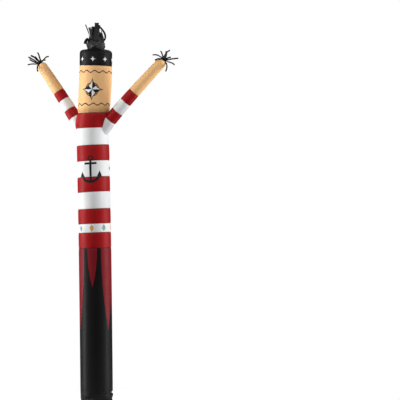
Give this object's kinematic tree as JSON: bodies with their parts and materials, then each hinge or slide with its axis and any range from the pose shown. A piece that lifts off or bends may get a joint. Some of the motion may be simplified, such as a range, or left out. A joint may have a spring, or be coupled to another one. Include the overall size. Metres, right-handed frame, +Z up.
{
  "type": "inflatable air dancer",
  "caption": "Tall blown-up cloth tube figure on an open foot hem, with a rimmed hat, two raised sleeves ending in tassels and a collar of cut strips as hair.",
  "frame": {"origin": "centre of the bottom face of the whole part's bounding box, at the level of the foot hem; the foot's own centre is 56 mm to -X and 31 mm to -Y of it", "axes": "+Z up along the tube, +X towards the figure's longer sleeve, -Y the side that faces the viewer; the print on the cloth is turned 26 degrees from -Y towards +X"},
  "size_m": [2.1716, 0.5396, 5.4129],
  "materials": {
    "black_cloth": "satin coated ripstop nylon",
    "red_cloth": "satin coated ripstop nylon",
    "white_cloth": "satin coated ripstop nylon",
    "tan_cloth": "satin coated ripstop nylon"
  },
  "bodies": {
    "root": {"trousers": "black_cloth", "shirt_red_5": "red_cloth", "shirt_white_4": "white_cloth", "shirt_red_4": "red_cloth", "shirt_white_3": "white_cloth", "shirt_red_3": "red_cloth", "shirt_white_2": "white_cloth", "shirt_red_2": "red_cloth", "shirt_white_1": "white_cloth", "shirt_red_1": "red_cloth", "head": "tan_cloth", "hat": "black_cloth", "hat_crown": "black_cloth", "hair_collar": "black_cloth", "hair_fringe": "black_cloth", "sleeve_right_1": "white_cloth", "sleeve_right_2": "red_cloth", "sleeve_right_3": "white_cloth", "sleeve_right_4": "red_cloth", "sleeve_right_5": "tan_cloth", "sleeve_left_1": "white_cloth", "sleeve_left_2": "red_cloth", "sleeve_left_3": "white_cloth", "sleeve_left_4": "red_cloth", "sleeve_left_5": "tan_cloth", "tassel_right": "black_cloth", "tassel_left": "black_cloth"}
  },
  "joints": []
}
